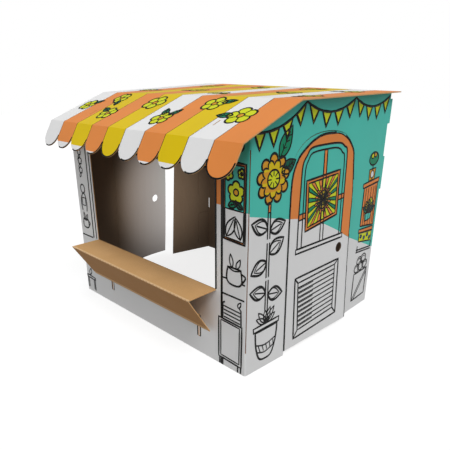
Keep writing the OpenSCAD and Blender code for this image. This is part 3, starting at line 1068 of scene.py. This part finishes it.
def front_drawing():
    sheet = Drawing("front_wall_drawing")
    for h in (-477, -450):
        sheet.line([(h, 336), (h, 812)], 3.4)
    sheet.line([(-588, 334), (-485, 334)], 3.0)
    sheet.line([(472, 334), (588, 334)], 3.0)
    sheet.line([(436, 338), (436, 812)], 3.6)
    sheet.line([(-434, 814), (434, 814)], 3.4)
    # Painted shade: these black lines at the sides of each hook slot stand in for the shade in it.
    for h in (-341, -323, 323, 341):
        sheet.line([(h, 80), (h, 184)], 2.4)
    sheet.motif()
    sheet.shape("lime", oval(553, 905, 17, 17, 18), 3.4)
    frame_line = [(476, 850), (584, 846), (584, 556), (476, 562)]
    sheet.shape("orange", frame_line, 3.2)
    upper = [(484, 842), (576, 838), (576, 678), (484, 680)]
    sheet.shape("teal", upper, 2.4)
    sheet.shape("white", [(484, 680), (576, 678), (576, 564), (484, 569)], 2.4)
    sheet.shape("white", [(474, 678), (482, 678), (482, 566), (474, 562)], 2.0)
    sheet.shape("white", [(578, 676), (586, 676), (586, 556), (578, 558)], 2.0)
    for h, v, size, turn in ((538, 744, 40, 0.3), (500, 806, 24, 0.8), (563, 812, 18, 0.2)):
        inside = [(min(max(a, 486), 574), min(max(b, 682), 838)) for a, b in petals(h, v, size, 5, turn)]
        sheet.shape("lime", inside, 3.0)
        sheet.shape("amber", oval(h, v, size * 0.3, size * 0.3, 14), 2.4)
    green_leaf(sheet, 500, 690, 52, 26, 20)
    green_leaf(sheet, 570, 688, 44, 22, 150, "dark_green")
    sheet.line(leaf(492, 574, 92, 40, 62), 2.6, True)
    sheet.line([(492, 574), (528, 644)], 2.2)
    sheet.line(leaf(562, 572, 84, 36, 108), 2.6, True)
    sheet.line([(562, 572), (540, 640)], 2.2)
    sheet.motif()
    jug(sheet, 534, 386, 110)
    sheet.line([(474, 402), (494, 402)], 2.6)
    sheet.line([(574, 400), (590, 400)], 2.6)
    sheet.shape("white", [(452, 222), (578, 216), (578, 30), (452, 36)], 3.4)
    sheet.line([(464, 212), (566, 207), (566, 42), (464, 47)], 2.6, True)
    sheet.line([(458, 34), (458, 2)], 3.0)
    sheet.line([(476, 33), (476, 2)], 3.0)
    sheet.line([(560, 30), (560, 2)], 3.0)
    sheet.line([(576, 30), (576, 2)], 3.0)
    for k in range(4):
        sheet.line([(480, 232 + 16 * k), (568, 228 + 16 * k)], 2.4)
    sheet.line([(474, 222), (476, 292), (486, 300)], 3.0)
    sheet.line([(574, 218), (572, 286), (562, 296)], 3.0)
    sheet.line(leaf(556, 296, 30, 14, 60), 2.2, True)
    sheet.motif()
    for v, r in ((774, 15), (732, 18), (684, 16)):
        sheet.line(petals(-538, v, r, 5, 0.3), 2.6, True)
        sheet.line(leaf(-538, v - r, 26, 12, 236), 2.0, True)
    jug(sheet, -540, 380, 74)
    sheet.line(smooth([(-560, 470), (-566, 520), (-548, 560), (-524, 556), (-514, 512), (-520, 470)]), 3.0)
    sheet.line(oval(-540, 588, 20, 22, 18), 2.8, True)
    sheet.line(box(-556, 500, -524, 540), 2.2, True)
    sheet.line([(-588, 92), (-588, 20)], 3.0)
    sheet.line([(-516, 86), (-516, 14)], 3.0)
    sheet.line([(-592, 96), (-510, 90), (-510, 76), (-592, 82)], 3.0, True)
    sheet.line([(-576, 82), (-576, 22)], 2.4)
    sheet.line([(-526, 78), (-526, 18)], 2.4)
    sheet.line(leaf(-560, 98, 46, 20, 70), 2.4, True)
    return sheet


finished(lay(front_drawing(), on_front))

# %% [markdown]
# ## Floor and light
# The house stands on a pale plain floor. Light comes softly from all round and more strongly
# from above and from the right, so the roof is brightest, then the side wall, then the front.
# A small lamp in the room reaches the inside of the open left door.

# %% Lay the floor
bpy.ops.object.select_all(action="DESELECT")
bpy.ops.mesh.primitive_plane_add(size=30, location=(0, 0, -0.0008))
floor = bpy.context.active_object
floor.name = "floor"
floor.visible_diffuse = False
bpy.ops.object.transform_apply(location=True, rotation=True, scale=True)
paper = Finish("pale floor")
paper.set(base_color=paper.blend(paper.noise(2, 2), (0.26, 0.26, 0.26, 1), (0.28, 0.28, 0.28, 1)))
paper.set(roughness=0.9, specular_ior_level=0.0, emission_color=(1, 1, 1, 1), emission_strength=0.82)
dress(floor, paper.material)

# %% Hang the lights
world = bpy.data.worlds.new("studio")
bpy.context.scene.world = world
world.use_nodes = True
sky = world.node_tree
glow = sky.nodes["Background"]
glow.inputs["Color"].default_value = (1, 1, 1, 1)
upward = sky.nodes.new("ShaderNodeSeparateXYZ")
level = sky.nodes.new("ShaderNodeMapRange")
for key, value in {"From Min": -0.25, "From Max": 0.25, "To Min": 0.19, "To Max": 0.46}.items():
    level.inputs[key].default_value = value
sky.links.new(sky.nodes.new("ShaderNodeTexCoord").outputs["Generated"], upward.inputs[0])
sky.links.new(upward.outputs["Z"], level.inputs["Value"])
sky.links.new(level.outputs["Result"], glow.inputs["Strength"])
white_sky = sky.nodes.new("ShaderNodeBackground")
white_sky.inputs["Color"].default_value = (1, 1, 1, 1)
white_sky.inputs["Strength"].default_value = 1.0
seen = sky.nodes.new("ShaderNodeLightPath")
either = sky.nodes.new("ShaderNodeMixShader")
sky.links.new(seen.outputs["Is Camera Ray"], either.inputs[0])
sky.links.new(glow.outputs[0], either.inputs[1])
sky.links.new(white_sky.outputs[0], either.inputs[2])
sky.links.new(either.outputs[0], sky.nodes["World Output"].inputs["Surface"])


def lamp(name, towards, strength, softness):
    bpy.ops.object.light_add(type="SUN", location=Vector(towards) * 4)
    made = bpy.context.active_object
    made.name = name
    made.rotation_euler = Vector(towards).to_track_quat("Z", "Y").to_euler()
    made.data.energy = strength
    made.data.angle = math.radians(softness)
    return made


lamp("key lamp", (0.25, -0.11, 0.42), 1.57, 26)
lamp("front lamp", (0.25, -0.95, 0.20), 0.35, 40)
OPEN_DOOR_MIDDLE = Vector((-0.69, 0.60, 0.42))
bpy.ops.object.light_add(type="SPOT", location=(0.35, 0.18, 0.62))
room_lamp = bpy.context.active_object
room_lamp.name = "room lamp"
away = room_lamp.location - OPEN_DOOR_MIDDLE
room_lamp.rotation_euler = away.to_track_quat("Z", "Y").to_euler()
room_lamp.data.energy = 42
room_lamp.data.spot_size = math.radians(44)
room_lamp.data.spot_blend = 1.0
room_lamp.data.shadow_soft_size = 0.08
room_lamp.visible_camera = False
print("lamps hung")
